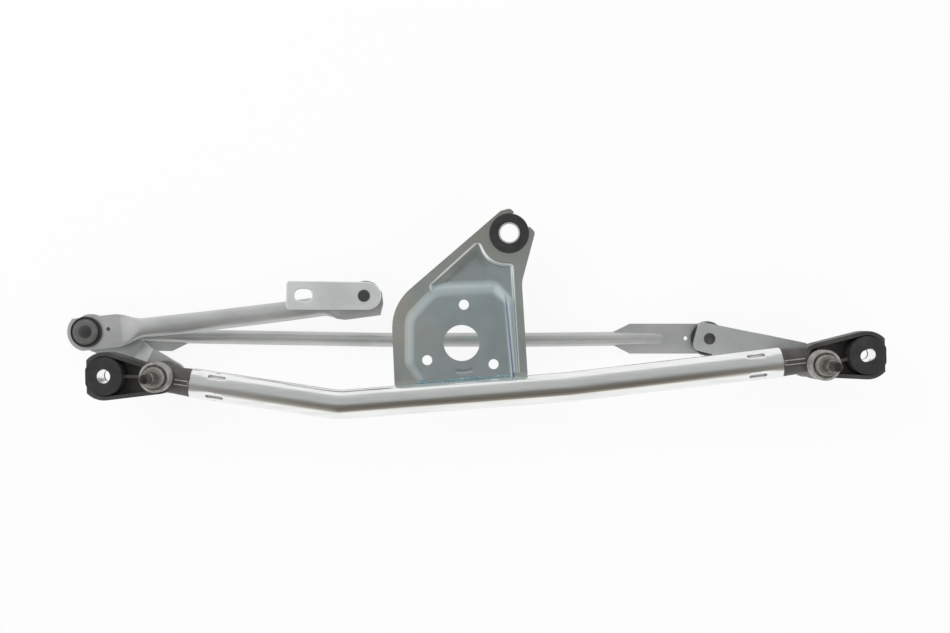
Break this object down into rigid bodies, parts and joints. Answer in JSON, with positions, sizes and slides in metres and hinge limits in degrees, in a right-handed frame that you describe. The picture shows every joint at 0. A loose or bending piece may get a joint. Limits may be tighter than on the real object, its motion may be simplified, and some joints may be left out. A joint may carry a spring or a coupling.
{
  "type": "wiper linkage",
  "caption": "Tandem windscreen wiper linkage: a bent tube frame with motor plate and rubber-mounted spindle housings, stepped levers, link rods with ball joints and a motor crank.",
  "frame": {"origin": "motor shaft axis, at the front face of the motor pad and in the plane of the cross tube axis", "axes": "+Z along the spindles towards the wiper arms, +X from the left spindle to the right spindle, +Y towards the plate grommet"},
  "size_m": [0.6904, 0.173, 0.1103],
  "materials": {
    "tube_zinc": "bright zinc plate",
    "plate_zinc": "satin bluish zinc plate",
    "weld_zinc": "zinc plated weld bead",
    "rubber": "matt",
    "sleeve_steel": "satin",
    "cast_housing": "satin black coating",
    "bush_bronze": "sintered",
    "spindle_steel": "dark ground",
    "lever_zinc": "satin zinc plate",
    "dark_steel": "phosphated",
    "retainer_steel": "dull",
    "washer_plastic": "matt",
    "rod_zinc": "satin zinc plate",
    "socket_plastic": "satin",
    "crank_zinc": "satin zinc plate"
  },
  "bodies": {
    "frame": {"cross_tube": "tube_zinc", "motor_plate": "plate_zinc", "plate_welds": "weld_zinc", "plate_grommet": "rubber", "plate_sleeve": "sleeve_steel", "left_housing": "cast_housing", "left_grommet": "rubber", "left_sleeve": "sleeve_steel", "left_upper_bush": "bush_bronze", "left_lower_bush": "bush_bronze", "right_housing": "cast_housing", "right_grommet": "rubber", "right_sleeve": "sleeve_steel", "right_upper_bush": "bush_bronze", "right_lower_bush": "bush_bronze"},
    "left_rocker": {"left_spindle": "spindle_steel", "left_lever": "lever_zinc", "left_ball_pin": "dark_steel", "left_retainer": "retainer_steel", "left_thrust_washer": "washer_plastic"},
    "right_rocker": {"right_spindle": "spindle_steel", "right_lever": "lever_zinc", "right_ball_pin": "dark_steel", "right_retainer": "retainer_steel", "right_thrust_washer": "washer_plastic"},
    "drive_rod": {"drive_rod": "rod_zinc", "drive_lever_socket": "socket_plastic", "drive_crank_socket": "socket_plastic", "drive_lever_seal": "rubber", "drive_crank_seal": "rubber"},
    "connecting_rod": {"connecting_rod": "rod_zinc", "connecting_left_socket": "socket_plastic", "connecting_right_socket": "socket_plastic", "connecting_left_seal": "rubber", "connecting_right_seal": "rubber"},
    "crank": {"motor_crank": "crank_zinc", "crank_ball_pin": "dark_steel"}
  },
  "joints": [
    {"name": "left_spindle_turn", "type": "hinge", "parent": "frame", "child": "left_rocker", "pos_m": [-0.25, -0.023, 0], "axis": [0, 0, 1], "range_deg": [-111, 5]},
    {"name": "right_spindle_turn", "type": "hinge", "parent": "frame", "child": "right_rocker", "pos_m": [0.296, -0.023, 0], "axis": [0, 0, 1], "range_deg": [-120, 5.5]},
    {"name": "connecting_rod_swing", "type": "hinge", "parent": "left_rocker", "child": "connecting_rod", "pos_m": [-0.32395, 0.01468, -0.053], "axis": [0, 0, 1], "range_deg": [-5.3, 113.8]},
    {"name": "drive_rod_swing", "type": "hinge", "parent": "left_rocker", "child": "drive_rod", "pos_m": [-0.32395, 0.01468, -0.033], "axis": [0, 0, 1], "range_deg": [-8, 100]},
    {"name": "crank_swing", "type": "hinge", "parent": "drive_rod", "child": "crank", "pos_m": [-0.08292, 0.04129, -0.033], "axis": [0, 0, 1], "continuous": true}
  ],
  "couplings": [
    {"joint": "right_spindle_turn", "follows": "left_spindle_turn", "ratio": 1.08},
    {"joint": "connecting_rod_swing", "follows": "left_spindle_turn", "ratio": -1.0225}
  ]
}
